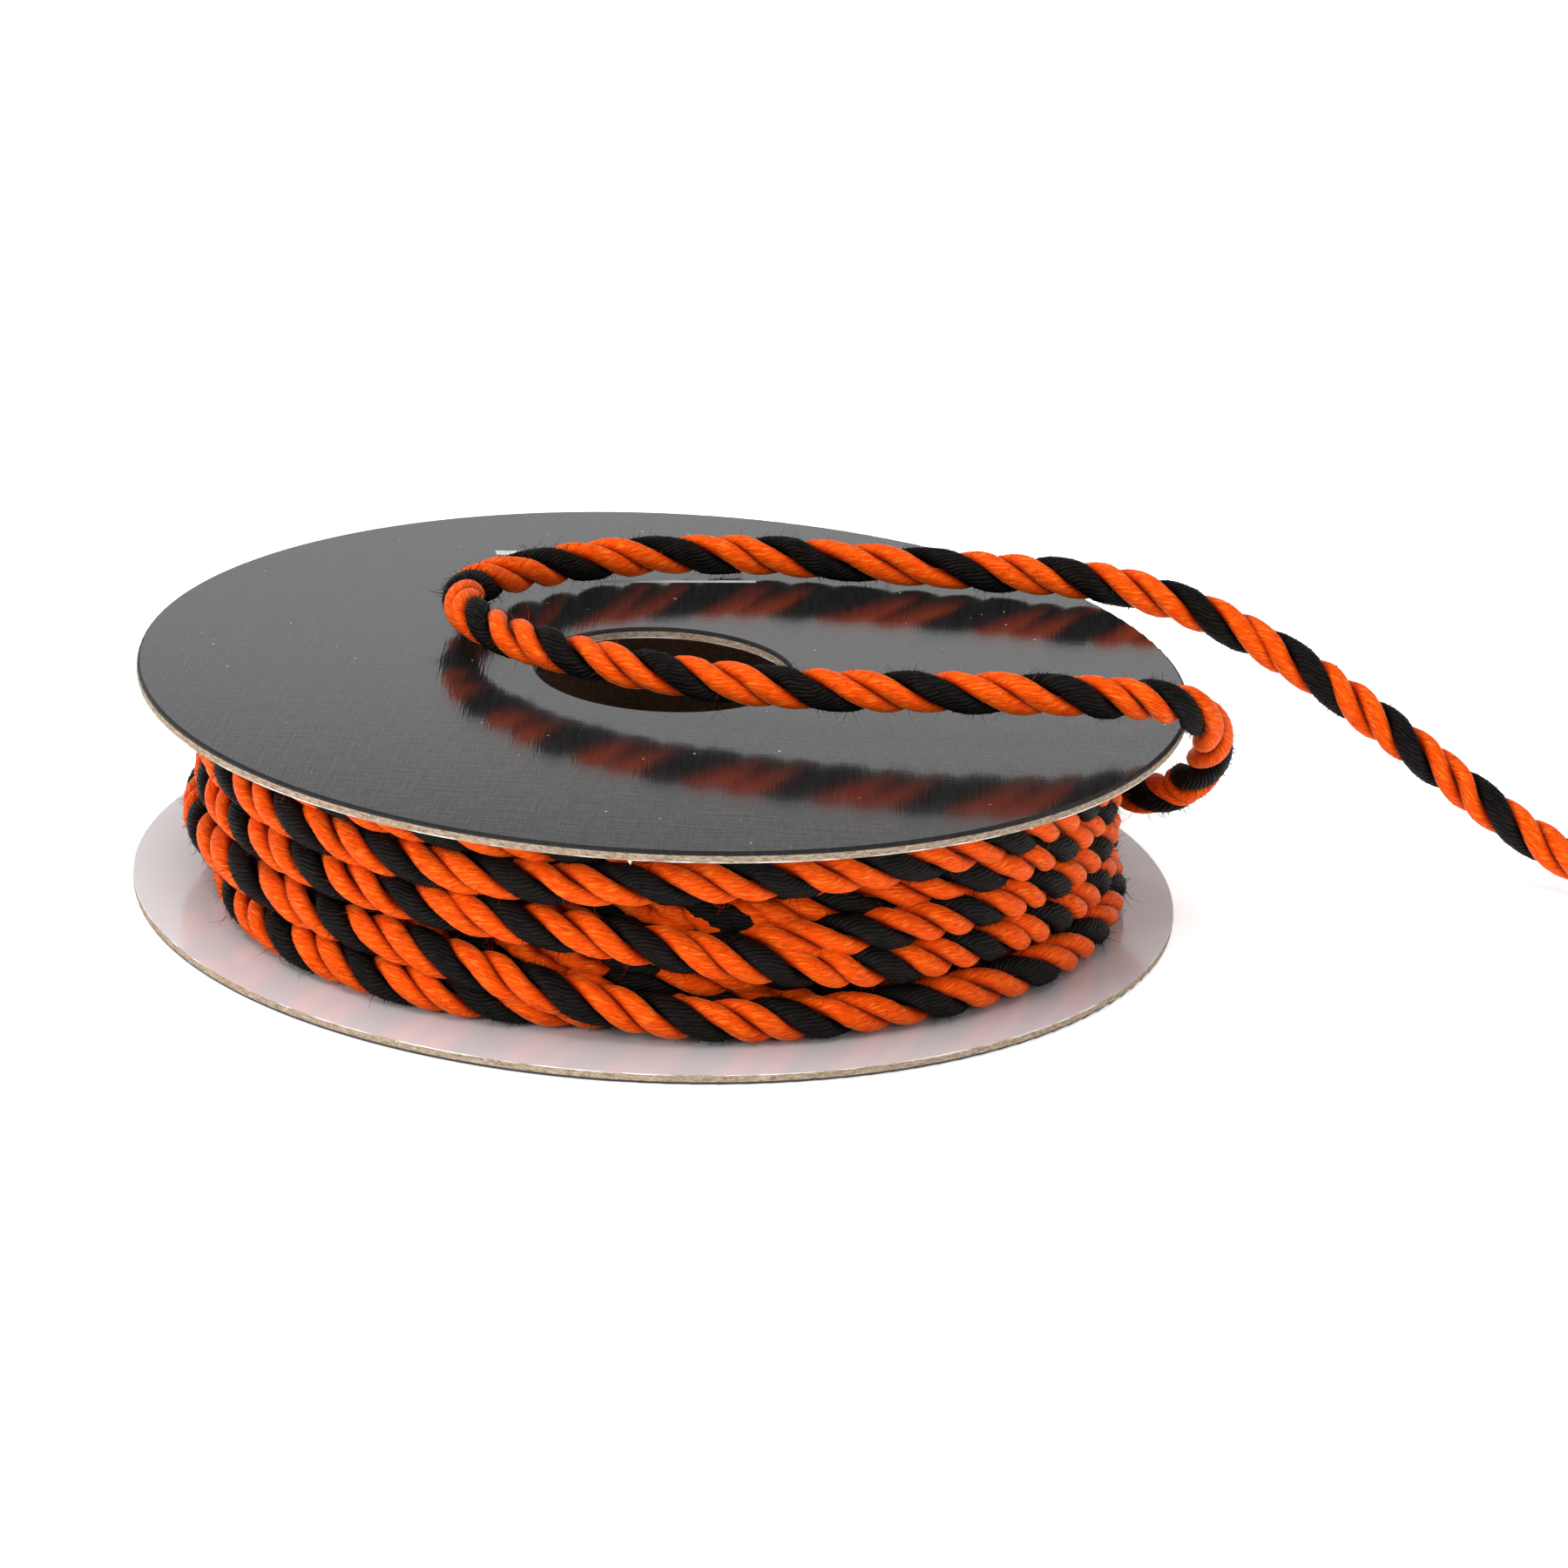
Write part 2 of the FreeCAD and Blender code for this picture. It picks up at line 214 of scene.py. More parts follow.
# The camera: a long lens a little above the spool, slightly rolled.
LENS_MM = 148
SENSOR_MM = 36
NEAREST_SEEN = 0.01
CAMERA_AIM = Vector((12.4, 0, 11.6)) * MM
CAMERA_ELEVATION = math.radians(19.68)
CAMERA_ROLL = math.radians(3.0)
CAMERA_DISTANCE = 0.640

# The floor lies just under the spool, and glows a little so that it stays pale in the shade.
FLOOR_HALF_SIDE = 6
FLOOR_HEIGHT = -0.05 * MM
FLOOR_GLOW = 0.55

# Soft lights: name, place, size, power in watts, and whether the gloss of the cover mirrors it.
LIGHTS = (
    ("overhead", (-0.2, -0.3, 1.2), (0.9, 0.9), 11.6, False),
    ("left", (-1.1, -0.8, 0.6), (0.6, 0.6), 13.8, False),
    ("right", (0.9, -1.1, 0.5), (0.6, 0.6), 5.8, False),
    ("backdrop", (0, 0.6, 0.125), (1.6, 0.25), 0.79, True),
)
WORLD_STRENGTH = 0.36
LIGHTS_AIM = Vector((0, 0, 0.01))


def add_camera():
    data = bpy.data.cameras.new("camera")
    data.lens = LENS_MM
    data.sensor_width = SENSOR_MM
    data.clip_start = NEAREST_SEEN
    camera = bpy.data.objects.new("camera", data)
    bpy.context.scene.collection.objects.link(camera)
    back = Vector((0, -math.cos(CAMERA_ELEVATION), math.sin(CAMERA_ELEVATION)))
    tilt = Matrix.Rotation(math.pi / 2 - CAMERA_ELEVATION, 4, "X")
    roll = Matrix.Rotation(CAMERA_ROLL, 4, "Z")
    camera.matrix_world = Matrix.Translation(CAMERA_AIM + back * CAMERA_DISTANCE) @ tilt @ roll
    bpy.context.scene.camera = camera


def smooth(value, start, end):
    """0 before start, 1 after end, and an even curve between them."""
    share = min(1, max(0, (value - start) / (end - start)))
    return share * share * (3 - 2 * share)


def winding_point(turned):
    """The winding's control point at an angle in degrees, clockwise from the right of its first turn."""
    turn = min(max(int(turned // 360), 0), len(TURNS) - 1)
    angle = turned - 360 * turn
    right, left, height_at, right_layer, left_layer, layer_at = TURNS[turn]
    after = [(row[0], row[3]) for row in TURNS] + [LEAVING]
    next_height, next_layer = after[turn + 1]
    height = right + (left - right) * smooth(angle, height_at - HEIGHT_RAMP, height_at + HEIGHT_RAMP)
    height += (next_height - left) * smooth(angle, *BACK_RISE)
    change = smooth(angle, layer_at - LAYER_RAMP, layer_at + LAYER_RAMP)
    layer = right_layer + (left_layer - right_layer) * change
    layer += (next_layer - left_layer) * smooth(angle, *BACK_LAYER_CHANGE)
    layer += LEFT_PUSH[turn] * (smooth(angle, *PUSH_STARTS) - smooth(angle, *PUSH_ENDS))
    dip = RIGHT_DIP * (smooth(angle, *DIP_STARTS) + 1 - smooth(angle, *DIP_ENDS))
    height = min(max((height - dip) * MM, FLOOR_OF_WINDING), TOP_OF_WINDING)
    radius = INNER + (OUTER - INNER) * layer
    # The spline passes inside its control points, which lie further out by this much.
    reach = radius / (0.75 + 0.25 * math.cos(2 * math.pi / STEPS_PER_TURN))
    around = -math.radians(turned)
    return (reach * math.cos(around), reach * math.sin(around), height)


def cord_route():
    """All control points of the cord, from its start on the core to its free end."""
    steps = round((LAST_STEP_DEG - FIRST_STEP_DEG) * STEPS_PER_TURN / 360)
    winding = [winding_point(FIRST_STEP_DEG + 360 / STEPS_PER_TURN * i) for i in range(steps + 1)]
    tail = [tuple(c * MM for c in point) for point in TAIL_ROUTE]
    return winding + tail


def line_of(points):
    """The points along the NURBS spline that has these control points."""
    curve = bpy.data.curves.new("route", "CURVE")
    curve.dimensions = "3D"
    curve.resolution_u = POINTS_PER_SPAN
    spline = curve.splines.new("NURBS")
    spline.points.add(len(points) - 1)
    for place, point in zip(spline.points, points):
        place.co = (*point, 1)
    spline.order_u = 3
    spline.use_endpoint_u = True
    holder = bpy.data.objects.new("route", curve)
    mesh = bpy.data.meshes.new_from_object(holder)
    line = np.array([v.co for v in mesh.vertices], float)
    bpy.data.meshes.remove(mesh)
    bpy.data.curves.remove(curve)
    hidden = np.hypot(line[:, 0], line[:, 1]) < INNER + ON_THE_CORE
    # The free end passes over the core's hole in plain sight, and keeps all its points.
    hidden[len(line) // 2 :] = False
    keep = ~hidden | (np.arange(len(line)) % THINNED_BY == 0)
    return line[keep]


def unit(vectors):
    return vectors / np.linalg.norm(vectors, axis=-1, keepdims=True)


def frames_along(line):
    """Unit vectors along the line and a pair square to them that doesn't twist as it goes."""
    ahead = unit(np.gradient(line, axis=0))
    side = np.empty_like(line)
    last = np.cross(ahead[0], (0, 0, 1))
    for i, direction in enumerate(ahead):
        last = unit(last - direction * (last @ direction))
        side[i] = last
    return ahead, side, np.cross(ahead, side)


def distance_along(line):
    steps = np.linalg.norm(np.diff(line, axis=0), axis=1)
    return np.concatenate([[0], np.cumsum(steps)])


def twist_along(line, distance):
    """How far the strands have turned at each point of the cord, in radians."""
    turned = np.degrees(np.unwrap(-np.arctan2(line[:, 1], line[:, 0])))
    turned += FIRST_STEP_DEG - turned[0]
    wound = int(np.argmax(turned >= LAST_STEP_DEG))
    stations = [360 * turn + angle for turn in range(len(TURNS)) for angle in TWIST_ANGLES]
    places = np.interp(stations, turned[:wound], distance[:wound]).tolist()
    places += [distance[-1] - from_tip * MM for from_tip, degrees in TAIL_TWIST]
    ahead = [degrees for row in TURN_TWIST for degrees in row]
    ahead += [degrees for from_tip, degrees in TAIL_TWIST]
    ahead = np.unwrap(np.array(ahead, float), period=360)
    return 2 * math.pi * distance / LAY + np.radians(np.interp(distance, places, ahead))


def wobble(distance, seed, shortest=4 * MM, longest=30 * MM, waves=7):
    """A smooth random wave along the cord, mostly between -1 and 1."""
    random = np.random.default_rng(seed)
    lengths = random.uniform(shortest, longest, waves)
    starts = random.uniform(0, 2 * math.pi, waves)
    parts = np.sin(2 * math.pi * distance[:, None] / lengths + starts)
    return parts.sum(axis=1) / math.sqrt(waves)


def strand_section(angle, share, half_width):
    """How far a strand's skin is from its centre, at angles from the outward direction.

    It is an ellipse, flattened where it meets the two strands beside it.
    """
    oval = np.hypot(np.cos(angle) / STRAND_DEEP, np.sin(angle) / half_width)
    wall = STRAND_CENTRE * math.sin(share) - STRAND_HALF_GAP
    apart = np.abs((angle + math.pi) % (2 * math.pi) - math.pi)
    flat = np.maximum(np.cos(apart - math.pi / 2 - share), 0) / wall
    return (oval**CORNER_SHARPNESS + flat**CORNER_SHARPNESS) ** (-1 / CORNER_SHARPNESS)


def strand_rings(line, start_angle, share, half_width, ridge, seed):
    """The points of a strand's skin, ring by ring, and the directions out of that skin."""
    ahead, side, up = frames_along(line)
    distance = distance_along(line)
    twist = start_angle + twist_along(line, distance) + TWIST_WAVER * wobble(distance, seed)
    out = np.cos(twist)[:, None] * side + np.sin(twist)[:, None] * up
    across = np.cross(ahead, out)
    column = np.arange(COLUMNS)
    angle = 2 * math.pi * column / COLUMNS - YARN_TWIST * distance[:, None]
    plump = 1 + PLUMP_WAVER * wobble(distance, seed + 1)[:, None]
    reach = strand_section(angle, share, half_width) * plump + np.where(column % 2 == 0, ridge, -ridge)
    outward = out[:, None, :] * np.cos(angle)[:, :, None]
    outward = outward + across[:, None, :] * np.sin(angle)[:, :, None]
    centre = line[:, None, :] + out[:, None, :] * STRAND_CENTRE
    return centre + outward * reach[:, :, None], outward


def tube_faces(rings, columns):
    """Quads between rings of points, and a cap at each end."""
    ring = np.arange(rings - 1)[:, None] * columns
    here = np.arange(columns)
    there = (here + 1) % columns
    quads = np.stack([ring + here, ring + there, ring + columns + there, ring + columns + here], axis=-1)
    caps = [here[::-1].tolist(), (here + (rings - 1) * columns).tolist()]
    return quads.reshape(-1, 4).tolist() + caps


def yarn_coordinates(mesh, distance):
    """A UV map with the share of the way round the strand, and the distance along it in mm."""
    rings = len(distance)
    around = np.stack([np.arange(COLUMNS), np.arange(1, COLUMNS + 1)], axis=1) / COLUMNS
    u = np.tile(around[:, [0, 1, 1, 0]], (rings - 1, 1))
    along = np.repeat(np.stack([distance[:-1], distance[1:]], axis=1) / MM, COLUMNS, axis=0)
    quads = np.stack([u, along[:, [0, 0, 1, 1]]], axis=-1).reshape(-1, 2)
    both = np.concatenate([quads, np.zeros((2 * COLUMNS, 2))])
    layer = mesh.uv_layers.new(name="yarn")
    layer.data.foreach_set("uv", both.astype(np.float32).ravel())


def new_piece(name, points, faces, material):
    """A smooth mesh that rides on the spool, made of that material."""
    mesh = bpy.data.meshes.new(name)
    mesh.from_pydata([tuple(p) for p in points], [], faces)
    mesh.materials.append(material)
    mesh.shade_smooth()
    piece = bpy.data.objects.new(name, mesh)
    bpy.context.scene.collection.objects.link(piece)
    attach(piece, "root")
    return piece


def add_strand(name, line, rings, material):
    """A strand as a mesh, with its yarns' UV map and its skin's distance from the cord's middle in mm,
    which sets where the yarn materials paint shade in the grooves.
    """
    faces = tube_faces(len(line), COLUMNS)
    piece = new_piece(name, rings.reshape(-1, 3), faces, material)
    yarn_coordinates(piece.data, distance_along(line))
    # The skin's distance from the cord's middle: the yarn materials paint shade where it is small, in the
    # grooves between strands.
    from_middle = np.linalg.norm(rings - line[:, None, :], axis=2) / MM
    painted_shade_outness = piece.data.attributes.new("painted_shade_outness", "FLOAT", "POINT")
    painted_shade_outness.data.foreach_set("value", from_middle.astype(np.float32).ravel())
    return piece


def add_fuzz(name, line, rings, outward, count, seed, material):
    """Stray fibres: short curved hairs that stand off a strand's outer side."""
    random = np.random.default_rng(seed)
    wide = np.hypot(line[:-2, 0], line[:-2, 1]) > INNER + HAIRS_CLEAR_OF_CORE
    above = line[:-2, 2] > TOP_OF_WINDING + HAIRS_ABOVE_WINDING
    ring = random.choice(np.flatnonzero(wide | above), 4 * count)
    column = random.integers(0, COLUMNS, 4 * count)
    root, away = rings[ring, column], outward[ring, column]
    exposed = ((root - line[ring]) * away).sum(axis=1) > HAIRS_OUTWARD
    ring, root, away = ring[exposed][:count], root[exposed][:count], away[exposed][:count]
    along = unit(line[ring + 1] - line[ring]) * random.choice([-1, 1], len(ring))[:, None]
    bend = unit(along + 0.7 * random.normal(size=root.shape))
    length = np.minimum(random.gamma(2.0, HAIR_SCALE, len(ring)), HAIR_LONGEST)[:, None, None]
    share = np.linspace(0, 1, HAIR_POINTS)[None, :, None]
    curl = random.uniform(-1.2, 1.2, len(ring))[:, None, None]
    path = share * away[:, None, :] * HAIR_OUT + share**2 * bend[:, None, :] * HAIR_ALONG
    path = path + np.sin(share * 3) * curl * np.cross(away, bend)[:, None, :] * HAIR_CURL
    spine = root[:, None, :] + path * length
    over_disc = np.hypot(root[:, 0], root[:, 1]) < DISC_RADIUS
    wound = over_disc & (root[:, 2] < UNDER_TOP_DISC)
    lowest = np.select([wound, over_disc], [OVER_BOTTOM_DISC, OVER_TOP_DISC], 0) + HAIR_GAP
    highest = np.where(wound, UNDER_TOP_DISC - HAIR_GAP, np.inf)
    spine[:, :, 2] = np.clip(spine[:, :, 2], lowest[:, None], highest[:, None])
    first = unit(np.cross(away, bend))[:, None, None, :]
    second = unit(np.cross(first, away[:, None, None, :]))
    corner = (2 * math.pi / HAIR_CORNERS * np.arange(HAIR_CORNERS))[None, None, :, None]
    thick = HAIR_RADIUS * (1 - HAIR_TAPER * share)[:, :, None, :]
    tubes = spine[:, :, None, :] + thick * (np.cos(corner) * first + np.sin(corner) * second)
    sides = np.array([face for face in tube_faces(HAIR_POINTS, HAIR_CORNERS) if len(face) == 4])
    first_point = HAIR_CORNERS * HAIR_POINTS * np.arange(len(ring))[:, None, None]
    faces = (sides[None] + first_point).reshape(-1, 4)
    return new_piece(name, tubes.reshape(-1, 3), faces.tolist(), material)


def add_cord():
    """The whole cord as three strands with stray fibres, in the place of the CAD cord, which is hidden."""
    line = line_of(cord_route())
    orange = orange_yarn()
    black = black_yarn()
    apart = BLACK_SHARE + ORANGE_SHARE
    # Name, angle round the cord, share, half width, ridge, seed, material, stray fibres.
    looks = (
        ("strand_orange_a", apart, ORANGE_SHARE, ORANGE_HALF_WIDTH, ORANGE_RIDGE, 11, orange, 3000),
        ("strand_orange_b", -apart, ORANGE_SHARE, ORANGE_HALF_WIDTH, ORANGE_RIDGE, 21, orange, 3000),
        ("strand_black", 0, BLACK_SHARE, BLACK_HALF_WIDTH, BLACK_RIDGE, 31, black, 16000),
    )
    for name, angle, share, half_width, ridge, seed, material, hairs in looks:
        rings, outward = strand_rings(line, angle, share, half_width, ridge, seed)
        add_strand(name, line, rings, material)
        add_fuzz(name + "_fuzz", line, rings, outward, hairs, seed + 2, material)
    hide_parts("cord_inner_layer", "cord_outer_layer", "cord_tail")


def node(tree, kind, inputs=(), **settings):
    """A new shader node, with its settings and with its inputs linked or set."""
    made = tree.nodes.new(kind)
    for name, value in settings.items():
        setattr(made, name, value)
    for socket, value in dict(inputs).items():
        if isinstance(value, bpy.types.NodeSocket):
            tree.links.new(value, made.inputs[socket])
        else:
            made.inputs[socket].default_value = value
    return made


def new_material(name, settings):
    """A material with a Principled shader whose plain values are set."""
    material = bpy.data.materials.new(name)
    material.use_nodes = True
    shader = material.node_tree.nodes["Principled BSDF"]
    for socket, value in settings.items():
        shader.inputs[socket].default_value = value
    return material, material.node_tree, shader


def stretched(tree, source, scale):
    return node(tree, "ShaderNodeMapping", {"Vector": source, "Scale": scale}).outputs["Vector"]


def noise(tree, vector, scale=1.0, detail=3.0, roughness=0.5):
    inputs = {"Vector": vector, "Scale": scale, "Detail": detail, "Roughness": roughness}
    return node(tree, "ShaderNodeTexNoise", inputs).outputs["Fac"]


def between(tree, value, low, high, first=0.0, last=1.0):
    """value from low to high becomes first to last, held at its ends."""
    inputs = {"Value": value, "From Min": low, "From Max": high, "To Min": first, "To Max": last}
    return node(tree, "ShaderNodeMapRange", inputs, clamp=True).outputs["Result"]


def blended(tree, share, first, second):
    """A colour between two, each a colour or a socket."""
    inputs = {"Factor": share, "A": first, "B": second}
    made = tree.nodes.new("ShaderNodeMix")
    made.data_type = "RGBA"
    for socket in made.inputs:
        if socket.name in inputs and socket.enabled:
            value = inputs[socket.name]
            if isinstance(value, bpy.types.NodeSocket):
                tree.links.new(value, socket)
            else:
                socket.default_value = value
    return next(s for s in made.outputs if s.enabled)


def add_bump(tree, shader, height, distance, strength=1.0, under=None):
    inputs = {"Height": height, "Distance": distance, "Strength": strength}
    if under is not None:
        inputs["Normal"] = under
    made = node(tree, "ShaderNodeBump", inputs)
    tree.links.new(made.outputs["Normal"], shader.inputs["Normal"])
    return made.outputs["Normal"]


def yarn_material(name, light, dark, deep, pale, settings, line_bump, line_shade):
    """Yarns that run along the cord, made of fibres that differ in colour, with pale specks that are partly
    paler fibres and partly painted highlights, and with painted shade in the grooves.
    """
    material, tree, shader = new_material(name, settings)
    place = node(tree, "ShaderNodeUVMap", uv_map="yarn").outputs["UV"]
    fibres = noise(tree, stretched(tree, place, (40, 0.7, 1)), 1.0, 4.0, 0.7)
    specks_and_highlights = noise(tree, stretched(tree, place, (30, 0.6, 1)), 1.0, 3.0, 0.6)
    bands = {"Vector": stretched(tree, place, (1, 0.03, 1)), "Scale": 5.4, "Distortion": 1.2,
             "Detail": 2.0, "Detail Scale": 4.0}
    yarns = node(tree, "ShaderNodeTexWave", bands).outputs["Fac"]
    painted_shade_outness = node(tree, "ShaderNodeAttribute", attribute_name="painted_shade_outness").outputs["Fac"]
    colour = blended(tree, between(tree, fibres, 0.30, 0.62), dark, light)
    # Pale specks: partly paler fibres and partly painted highlights that stand in for the yarn's sheen.
    colour = blended(tree, between(tree, specks_and_highlights, 0.50, 0.72, 0.0, 0.6), colour, pale)
    colour = blended(tree, between(tree, yarns, 0.0, 0.5, line_shade, 0.0), colour, dark)
    # Painted shade: the skin turns to the deep colour where it lies close to the cord's middle, in the
    # grooves between strands.
    colour = blended(tree, between(tree, painted_shade_outness, 1.25, 1.85), deep, colour)
    tree.links.new(colour, shader.inputs["Base Color"])
    lines = add_bump(tree, shader, yarns, 0.08 * MM, line_bump)
    add_bump(tree, shader, fibres, 0.10 * MM, 0.6, under=lines)
    return material


def orange_yarn():
    settings = {"Roughness": 0.5, "Specular IOR Level": 0.12, "Specular Tint": (1, 0.5, 0.2, 1),
                "Sheen Weight": 0.42, "Sheen Roughness": 0.3, "Sheen Tint": (1, 0.46, 0.14, 1)}
    light, dark = (0.85, 0.086, 0.0035, 1), (0.50, 0.027, 0.001, 1)
    # deep is painted shade for the grooves between strands.
    # pale is for specks that are partly paler fibres and partly painted highlights.
    deep, pale = (0.27, 0.010, 0.0005, 1), (1.0, 0.31, 0.036, 1)
    return yarn_material("orange_yarn", light, dark, deep, pale, settings, 0.08, 0.08)


def black_yarn():
    settings = {"Roughness": 0.6, "Specular IOR Level": 0.10}
    light, dark = (0.013, 0.0105, 0.0095, 1), (0.0006, 0.0006, 0.0006, 1)
    # deep is painted shade for the grooves between strands.
    # pale is for specks that are partly paler fibres and partly painted highlights.
    deep, pale = (0.0008, 0.0007, 0.0006, 1), (0.022, 0.019, 0.018, 1)
    return yarn_material("black_yarn", light, dark, deep, pale, settings, 1.0, 0.9)


def object_place(tree):
    return node(tree, "ShaderNodeTexCoord").outputs["Object"]


def facing_up(tree):
    """How far a face looks straight up or down: 1 on the flat of a disc, 0 on its edge."""
    normal = node(tree, "ShaderNodeNewGeometry").outputs["Normal"]
    height = node(tree, "ShaderNodeSeparateXYZ", {"Vector": normal}).outputs["Z"]
    return node(tree, "ShaderNodeMath", {0: height}, operation="ABSOLUTE").outputs["Value"]


def gloss_paper(name):
    """Black laminated paper with a fine linen grain and a little pale dust, and dull at its cut edge."""
    material, tree, shader = new_material(name, {"Specular IOR Level": 0.5})
    place = object_place(tree)
    warp = noise(tree, stretched(tree, place, (5200, 240, 240)), 1.0, 1.0)
    weft = noise(tree, stretched(tree, place, (300, 1500, 300)), 1.0, 2.0)
    dust = noise(tree, stretched(tree, place, (1400, 1400, 1400)), 1.0, 1.0)
    deep, worn = (0.008, 0.008, 0.008, 1), (0.015, 0.015, 0.016, 1)
    black = blended(tree, between(tree, warp, 0.3, 0.7), deep, worn)
    colour = blended(tree, between(tree, dust, 0.80, 0.81), black, (0.45, 0.45, 0.45, 1))
    tree.links.new(colour, shader.inputs["Base Color"])
    tree.links.new(between(tree, facing_up(tree), 0.95, 0.995, 0.6, 0.14), shader.inputs["Roughness"])
    first = add_bump(tree, shader, warp, 0.03 * MM, 0.8)
    add_bump(tree, shader, weft, 0.02 * MM, 0.3, under=first)
    return material


def board(name, light, dark):
    """Pressed card: long fibres in the plane of the sheet, and flecks."""
    material, tree, shader = new_material(name, {"Roughness": 0.9, "Specular IOR Level": 0.2})
    place = object_place(tree)
    layers = noise(tree, stretched(tree, place, (1400, 1400, 5000)), 1.0, 4.0, 0.7)
    flecks = noise(tree, stretched(tree, place, (3000, 3000, 6000)), 1.0, 1.0)
    colour = blended(tree, between(tree, layers, 0.36, 0.64), dark, light)
    colour = blended(tree, between(tree, flecks, 0.60, 0.72, 0.0, 0.7), colour, (0.10, 0.07, 0.05, 1))
    tree.links.new(colour, shader.inputs["Base Color"])
    add_bump(tree, shader, layers, 0.15 * MM, 1.0)
    return material


def white_liner(name):
    """White coated paper, faintly glossy, with the board's colour showing along its cut edge."""
    material, tree, shader = new_material(name, {"Roughness": 0.12})
    place = object_place(tree)
    clouds = noise(tree, stretched(tree, place, (90, 90, 90)), 1.0, 3.0)
    grain = noise(tree, stretched(tree, place, (2600, 2600, 2600)), 1.0, 2.0)
    torn = noise(tree, stretched(tree, place, (260, 260, 260)), 1.0, 3.0)
    white = blended(tree, clouds, (0.55, 0.52, 0.53, 1), (0.64, 0.62, 0.63, 1))
    edge = blended(tree, between(tree, torn, 0.45, 0.6), (0.30, 0.22, 0.15, 1), (0.75, 0.72, 0.70, 1))
    colour = blended(tree, between(tree, facing_up(tree), 0.3, 0.7), edge, white)
    tree.links.new(colour, shader.inputs["Base Color"])
    add_bump(tree, shader, grain, 0.015 * MM, 0.4)
    return material


def plain_film(name, colour, dark, roughness):
    """Tape or glue: nearly even, with faint clouds and a slightly uneven skin."""
    material, tree, shader = new_material(name, {"Roughness": roughness})
    place = object_place(tree)
    clouds = noise(tree, stretched(tree, place, (400, 400, 400)), 1.0, 3.0)
    tree.links.new(blended(tree, clouds, dark, colour), shader.inputs["Base Color"])
    add_bump(tree, shader, clouds, 0.05 * MM, 0.5)
    return material


def dress(node_name, material):
    """Gives a CAD node that stays its material."""
    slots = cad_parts[node_name].data.materials
    slots.clear()
    slots.append(material)


def dress_discs():
    cover = gloss_paper("cover_paper")
    grey = board("grey_board", (0.46, 0.36, 0.26, 1), (0.20, 0.145, 0.10, 1))
    liner = white_liner("liner_paper")
    for disc in ("top_disc", "bottom_disc"):
        dress(disc + "_cover", cover)
        dress(disc + "_board", grey)
        dress(disc + "_liner", liner)


def dress_core():
    dress("core_tube", board("core_board", (0.22, 0.13, 0.08, 1), (0.12, 0.07, 0.04, 1)))
    glue = plain_film("glue", (0.75, 0.70, 0.58, 1), (0.62, 0.56, 0.44, 1), 0.4)
    dress("core_glue_top", glue)
    dress("core_glue_bottom", glue)
    dress("start_tape", plain_film("paper_tape", (0.70, 0.60, 0.42, 1), (0.60, 0.50, 0.33, 1), 0.6))
    dress("cord_end_wrap", plain_film("clear_tape", (0.62, 0.60, 0.55, 1), (0.52, 0.49, 0.44, 1), 0.18))


def add_burrs():
    """Flakes of the liner that stand off the cut edges of the discs, where the punch tore it."""
    material = plain_film("liner_fibre", (0.80, 0.76, 0.74, 1), (0.66, 0.60, 0.56, 1), 0.7)
    random = np.random.default_rng(77)
    points = []
    for disc, count in BURRS:
        low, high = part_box(disc)
        for around in np.sort(random.uniform(0, 2 * math.pi, count)):
            size = random.gamma(BURR_SHAPE, BURR_SCALE)
            points += burr(around, low, high, size, random.uniform(*BURR_LEANS))
    points += burr(LARGE_BURR_ANGLE, *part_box("top_disc_liner"), LARGE_BURR_SIZE, LARGE_BURR_LEAN)
    flake = ((0, 1, 3), (1, 2, 3), (2, 0, 3), (0, 2, 1))
    firsts = range(0, len(points), 4)
    faces = [tuple(first + corner for corner in face) for first in firsts for face in flake]
    new_piece("liner_burrs", points, faces, material)


def burr(around, low, high, size, lean):
    """Four corners of a flake at an angle round a disc's edge: three on the edge and its tip."""
    radius = high.x
    middle = (low.z + high.z) / 2
    corners = []
    for turn, reach, rise in (*BURR_FOOT, (*BURR_TIP, lean)):
        angle = around + turn * BURR_WIDTH * size / radius
        away = radius + reach * size
        corners.append((away * math.cos(angle), away * math.sin(angle), middle + rise * size))
    return corners


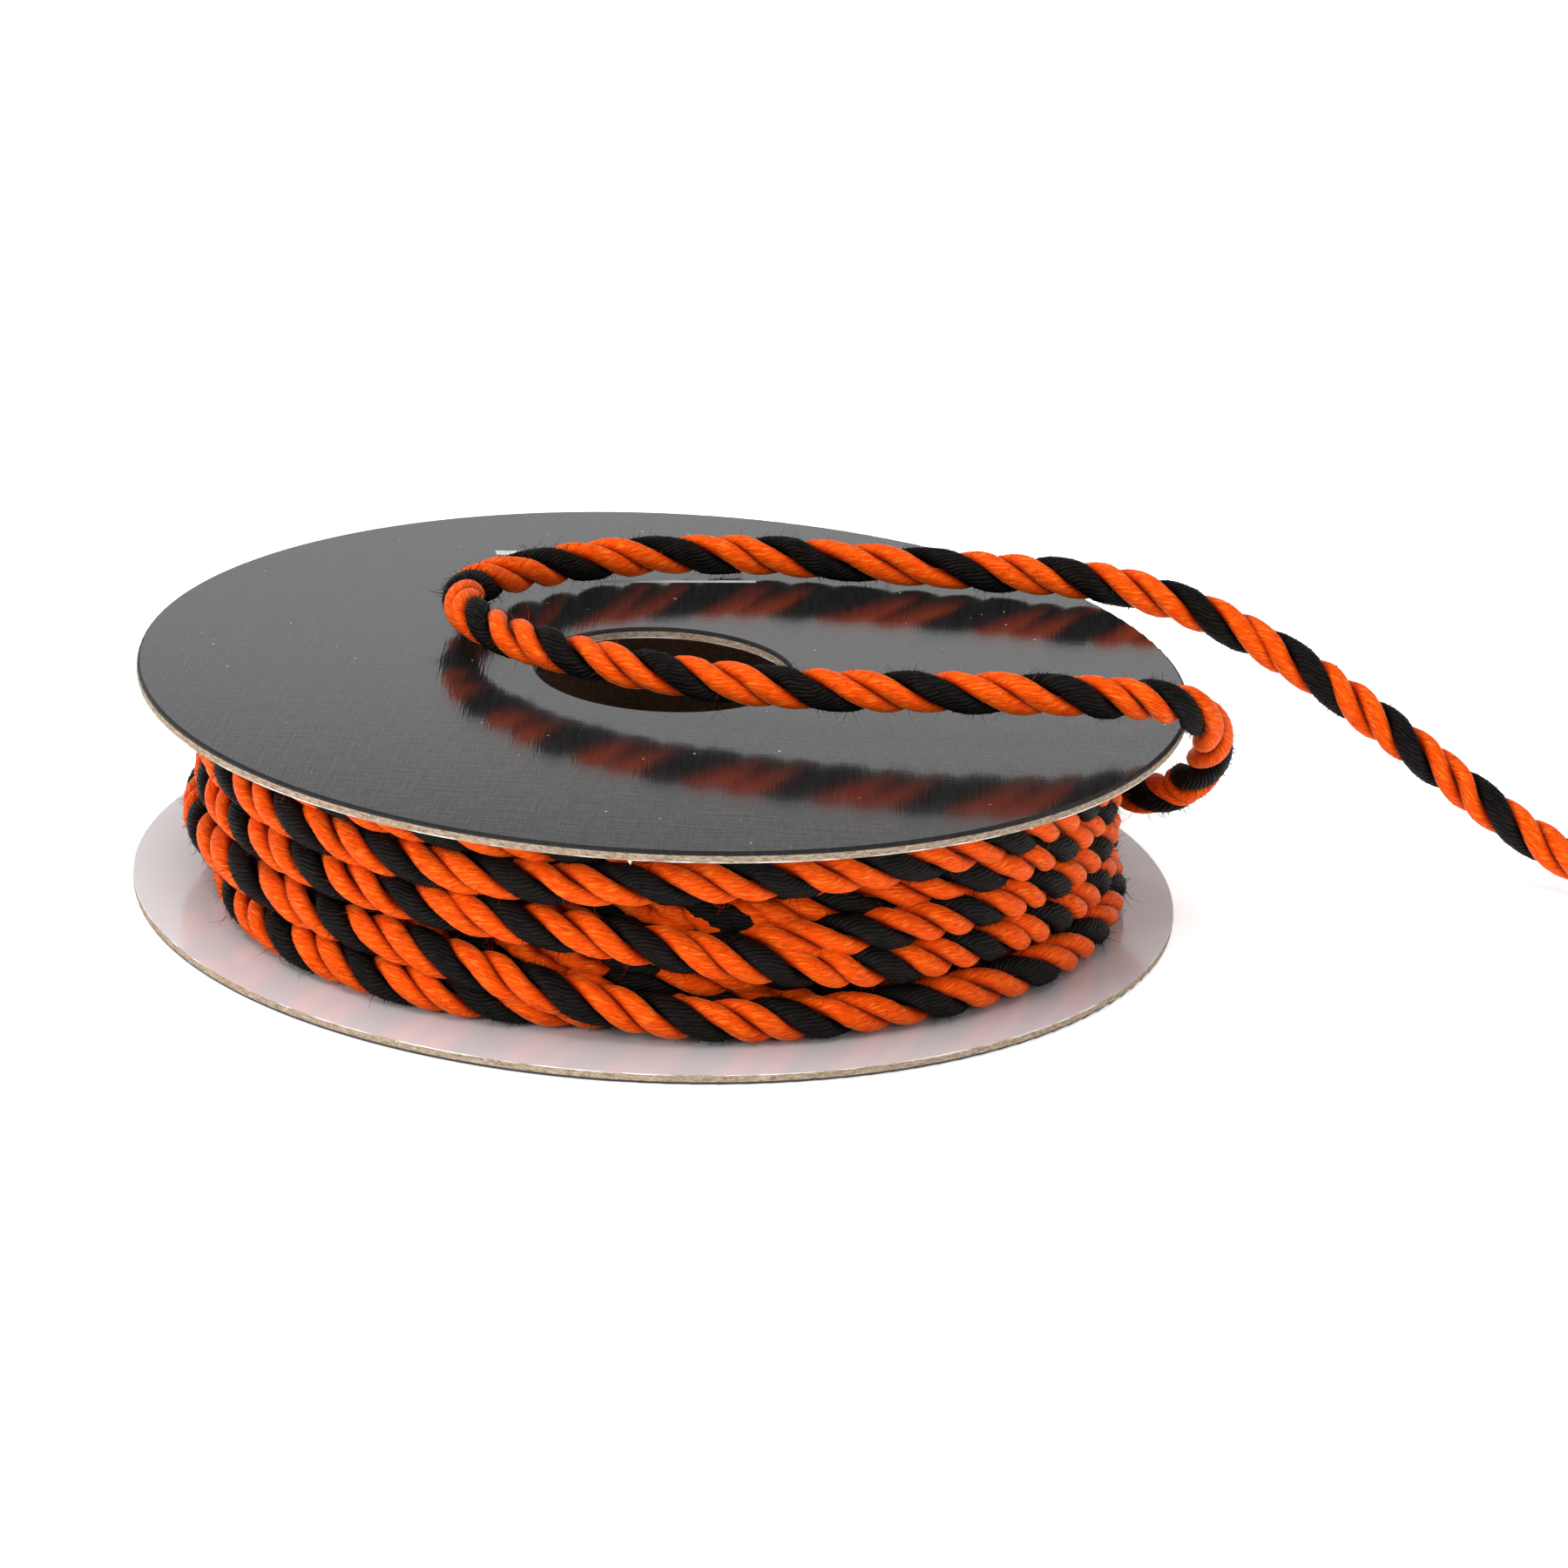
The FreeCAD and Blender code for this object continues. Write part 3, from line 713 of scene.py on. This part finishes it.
def add_rules():
    """Two plain pale lines on the cover, in the place of the maker's print."""
    material = plain_film("pale_print", (0.70, 0.70, 0.70, 1), (0.45, 0.45, 0.45, 1), 0.5)
    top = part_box("top_disc_cover")[1].z
    for name, start, end, wide in RULES:
        start, end = Vector(start), Vector(end)
        across = (end - start).orthogonal().normalized() * wide / 2
        outline = (start - across, end - across, end + across, start + across)
        if across.y < 0:
            outline = (start + across, end + across, end - across, start - across)
        corners = [(x * MM, y * MM, top + z * MM) for z in (0, RULE_THICKNESS) for x, y in outline]
        faces = [(4, 5, 6, 7), (3, 2, 1, 0), (0, 1, 5, 4), (1, 2, 6, 5), (2, 3, 7, 6), (3, 0, 4, 7)]
        rule = new_piece(name, corners, faces, material)
        rule.data.shade_flat()


def add_floor():
    mesh = bpy.data.meshes.new("floor")
    side = FLOOR_HALF_SIDE
    outline = ((-side, -side), (side, -side), (side, side), (-side, side))
    corners = [(x, y, FLOOR_HEIGHT) for x, y in outline]
    mesh.from_pydata(corners, [], [(0, 1, 2, 3)])
    settings = {"Base Color": (0.9, 0.9, 0.9, 1), "Roughness": 0.9, "Emission Color": (1, 1, 1, 1),
                "Emission Strength": FLOOR_GLOW}
    mesh.materials.append(new_material("floor", settings)[0])
    floor = bpy.data.objects.new("floor", mesh)
    bpy.context.scene.collection.objects.link(floor)


def add_area_light(name, place, size, power, mirrored):
    """A rectangular softbox that points at the spool."""
    data = bpy.data.lights.new(name, "AREA")
    data.shape = "RECTANGLE"
    data.size, data.size_y = size
    data.energy = power
    lamp = bpy.data.objects.new(name, data)
    bpy.context.scene.collection.objects.link(lamp)
    lamp.location = place
    lamp.visible_glossy = mirrored
    lamp.rotation_mode = "QUATERNION"
    lamp.rotation_quaternion = (LIGHTS_AIM - Vector(place)).to_track_quat("-Z", "Y")


def add_lights():
    world = bpy.data.worlds.new("studio")
    world.use_nodes = True
    background = world.node_tree.nodes["Background"]
    background.inputs["Color"].default_value = (1, 1, 1, 1)
    background.inputs["Strength"].default_value = WORLD_STRENGTH
    bpy.context.scene.world = world
    bpy.context.scene.view_settings.view_transform = "Standard"
    for light in LIGHTS:
        add_area_light(*light)


add_camera()
add_cord()
dress_discs()
dress_core()
add_burrs()
add_rules()
add_floor()
add_lights()
